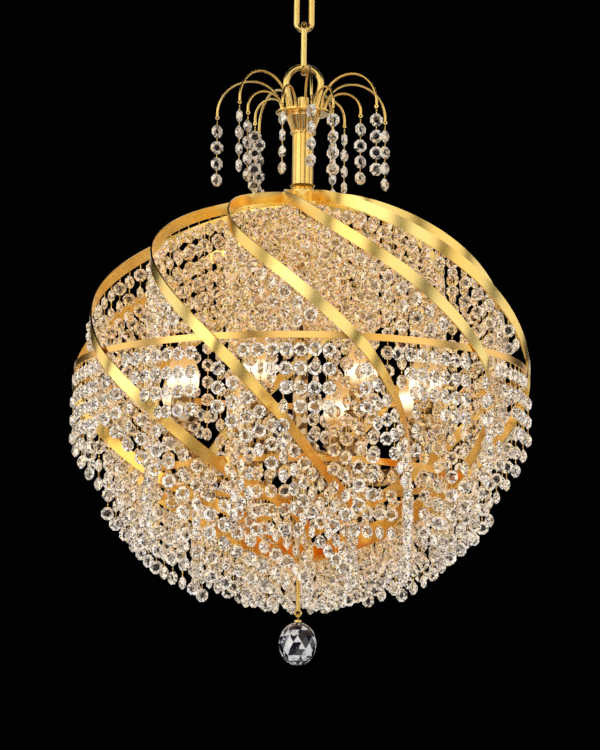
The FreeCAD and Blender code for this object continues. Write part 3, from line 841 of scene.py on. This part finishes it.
def hang(name, hooks, crystal, pitch):
    """Makes one mesh of beads and pins from a list of (place, bead count, facing)."""
    pin = pins[pitch]
    mesh = bpy.data.meshes.new(name)
    mesh.from_pydata([place for place, count, facing in hooks], [], [])
    for label, kind, values in (("beads", "INT", [count for place, count, facing in hooks]),
                                ("facing", "FLOAT", [facing for place, count, facing in hooks]),
                                ("play", "FLOAT", [play_at(place) for place, count, facing in hooks])):
        mesh.attributes.new(label, kind, "POINT").data.foreach_set("value", values)
    seeds = bpy.data.objects.new(name + "_hooks", mesh)
    bpy.context.collection.objects.link(seeds)
    rule = seeds.modifiers.new("hang_beads", "NODES")
    rule.node_group = bead_rule
    for shape, material in ((bead, crystal), (pin, drawn_gold), (hook, drawn_gold)):
        shape.data.materials.clear()
        shape.data.materials.append(material)
    given = {"Bead": bead, "Pin": pin, "Hook": hook, "Pitch": pitch, "Hook length": hook_length,
             "Bead reach": bead_reach, "Seed": turn_seed, "Crystal": crystal, "Metal": drawn_gold}
    for item in bead_rule.interface.items_tree:
        if item.item_type == "SOCKET" and item.name in given:
            rule[item.identifier] = given[item.name]
    looked_at = bpy.context.evaluated_depsgraph_get()
    plain = bpy.data.meshes.new_from_object(seeds.evaluated_get(looked_at), depsgraph=looked_at)
    bpy.data.objects.remove(seeds)
    piece = bpy.data.objects.new(name, plain)
    plain.name = name
    bpy.context.collection.objects.link(piece)
    return piece


for node, name in (("upper_strands", "upper_crystals"), ("lower_strands", "lower_crystals")):
    piece = hang(name, strands[node], globe_crystal, bead_pitch)
    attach(piece, "chandelier")
    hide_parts(node)
    print(name, len(piece.data.polygons), "faces")

# %% [markdown]
# The spray's strands swing one by one, so each is a piece of its own that rides on its own body.

# %% Spray strands
spray_beads = 4
spray_count = 14
for index in range(1, spray_count + 1):
    node = f"spray_strand_{index:02d}"
    low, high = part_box(node)
    strand_top = low.z + 2 * bead_reach + (spray_beads - 1) * spray_pitch + hook_length
    place = Vector(((low.x + high.x) / 2, (low.y + high.y) / 2, strand_top))
    facing = math.atan2(place.y, place.x)
    piece = hang(f"spray_crystals_{index:02d}", [(place, spray_beads, facing)], clear_crystal, spray_pitch)
    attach(piece, f"spray_{index:02d}")
    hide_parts(node)
print("spray strands hung")

# %% [markdown]
# The ball at the bottom is cut all round in rows of staggered facets.
# Each row of corners is turned half a step against the last, which gives the diamonds of a real cut ball.

# %% Cut ball
ball_sides = 14
ball_rows = 9


def cut_ball():
    """A ball as wide and as high as the solid one, with a number on each facet."""
    low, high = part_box("finial_ball")
    centre = (low + high) / 2
    reach = (high.x - low.x) / 2
    half = (high.z - low.z) / 2
    made = bmesh.new()
    rings = []
    for row in range(1, ball_rows + 1):
        polar = math.pi * row / (ball_rows + 1)
        first_turn = math.pi / ball_sides * (row % 2)
        radius = reach * math.sin(polar)
        height = centre.z + half * math.cos(polar)
        ring = []
        for step in range(ball_sides):
            turn = first_turn + step * math.tau / ball_sides
            corner = (centre.x + radius * math.sin(turn), centre.y + radius * math.cos(turn), height)
            ring.append(made.verts.new(corner))
        rings.append(ring)
    for row, (upper, lower) in enumerate(zip(rings, rings[1:])):
        ahead = (row + 1) % 2
        for step in range(ball_sides):
            following = (step + 1) % ball_sides
            if ahead:
                made.faces.new((upper[step], upper[following], lower[following]))
                made.faces.new((upper[step], lower[following], lower[step]))
            else:
                made.faces.new((upper[step], upper[following], lower[step]))
                made.faces.new((upper[following], lower[following], lower[step]))
    made.faces.new(rings[0])
    made.faces.new(rings[-1])
    bmesh.ops.recalc_face_normals(made, faces=made.faces)
    facet = made.faces.layers.float.new("facet")
    chance = random.Random(11)
    for face in made.faces:
        face[facet] = chance.random()
    mesh = bpy.data.meshes.new("cut_ball")
    made.to_mesh(mesh)
    made.free()
    return bpy.data.objects.new("cut_ball", mesh)


def ball_glass():
    """Glass whose facets have painted white flashes or painted dark, standing for facets that send the eye to
    a lamp or to the dark room, with a faint painted glow.
    """
    finish = Finish("ball_glass")
    glint = finish.node("ShaderNodeSeparateColor", {}, {"Color": finish.cells(260.0)}, "Red")
    flash = finish.fraction(finish.attribute("facet") + 0.3 * glint)
    stops = [(0.5, (0.012, 0.01, 0.02, 1)), (0.62, (0.3, 0.29, 0.36, 1)), (0.7, (1.0, 1.0, 1.0, 1))]
    colour = finish.ramp(flash, stops)
    finish.shader.inputs["Emission Strength"].default_value = 0.12
    return finish.feed({
        "Base Color": colour,
        "Emission Color": colour,
        "Roughness": 0.02,
        "IOR": 1.6,
        "Transmission Weight": 0.35,
    })


ball = cut_ball()
ball.data.materials.append(ball_glass())
bpy.context.collection.objects.link(ball)
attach(ball, "finial")
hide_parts("finial_ball")
print("facets of the ball:", len(ball.data.polygons))

# %% [markdown]
# The other solids keep their shapes and only take a finish, chosen by what each piece is.

# %% Finish the carried-over solids
finishes = {
    "ceiling_bracket": zinc,
    "lamp_sockets": ivory,
    "spray_cup": fluted,
    "upper_hoop": hoop_gold,
    "lower_hoop": hoop_gold,
    "top_hub": band_gold,
    "bottom_hub": band_gold,
    "ceiling_canopy": spun_gold,
    "spray_plate": spun_gold,
    "stem_collar": spun_gold,
    "central_column": painted_dapple_gold,
    "arm_hub": painted_dapple_gold,
    "lamp_arms": painted_dapple_gold,
    "lamp_cups": painted_dapple_gold,
    "lamp_holders": painted_dapple_gold,
}


def finish_for(node):
    if node.startswith("spiral_band"):
        return band_gold
    if node.startswith("bulb_"):
        return bulb_glow
    return finishes.get(node, drawn_gold)


for node, piece in nodes.items():
    piece.data.materials.clear()
    piece.data.materials.append(finish_for(node))
print("finishes given to", len(nodes), "solids")

# %% [markdown]
# The room is a plain pale floor far below and a plain dark backdrop all round,
# because cut glass is read against the dark. The world's own light stays soft and even.

# %% Floor and backdrop
def pale_floor():
    finish = Finish("pale_floor")
    mottle = finish.noise(0.8, 2.0)
    stops = [(0.4, (0.74, 0.73, 0.71, 1)), (0.6, (0.78, 0.77, 0.75, 1))]
    return finish.feed({"Base Color": finish.ramp(mottle, stops), "Roughness": 0.7})


floor_z = -7.5
floor_reach = 11.0
floor_sides = 64
floor_turns = [step * math.tau / floor_sides for step in range(floor_sides)]
floor_rim = [(floor_reach * math.cos(turn), floor_reach * math.sin(turn), floor_z) for turn in floor_turns]
floor_mesh = bpy.data.meshes.new("floor")
floor_mesh.from_pydata(floor_rim, [], [list(range(floor_sides))])
floor_mesh.materials.append(pale_floor())
floor = bpy.data.objects.new("floor", floor_mesh)
bpy.context.collection.objects.link(floor)
floor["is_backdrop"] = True

soft_grey = (0.32, 0.32, 0.33, 1)
seen_dark = (0.0004, 0.0004, 0.0005, 1)
world = bpy.data.worlds.new("backdrop")
bpy.context.scene.world = world
world.use_nodes = True
sky = world.node_tree
background = sky.nodes["Background"]
ray = sky.nodes.new("ShaderNodeLightPath").outputs
seen = Tap(sky, ray["Is Camera Ray"]) + Tap(sky, ray["Is Glossy Ray"]) + Tap(sky, ray["Is Transmission Ray"])
shade = sky.nodes.new("ShaderNodeMix")
shade.data_type = "RGBA"
plug(sky, shade.inputs[0], seen)
shade.inputs[6].default_value = soft_grey
shade.inputs[7].default_value = seen_dark
sky.links.new(shade.outputs[2], background.inputs["Color"])
print("floor and backdrop made")

# %% [markdown]
# The standard view shows colours as they are written.
# Last, the boxes of the solid model and of the dressed one are written down, to be compared.

# %% Finish
bpy.context.scene.view_settings.view_transform = "Standard"
low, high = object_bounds()
print("solid model", [round(value, 4) for value in (cad_high - cad_low)])
print("dressed", [round(value, 4) for value in (high - low)])
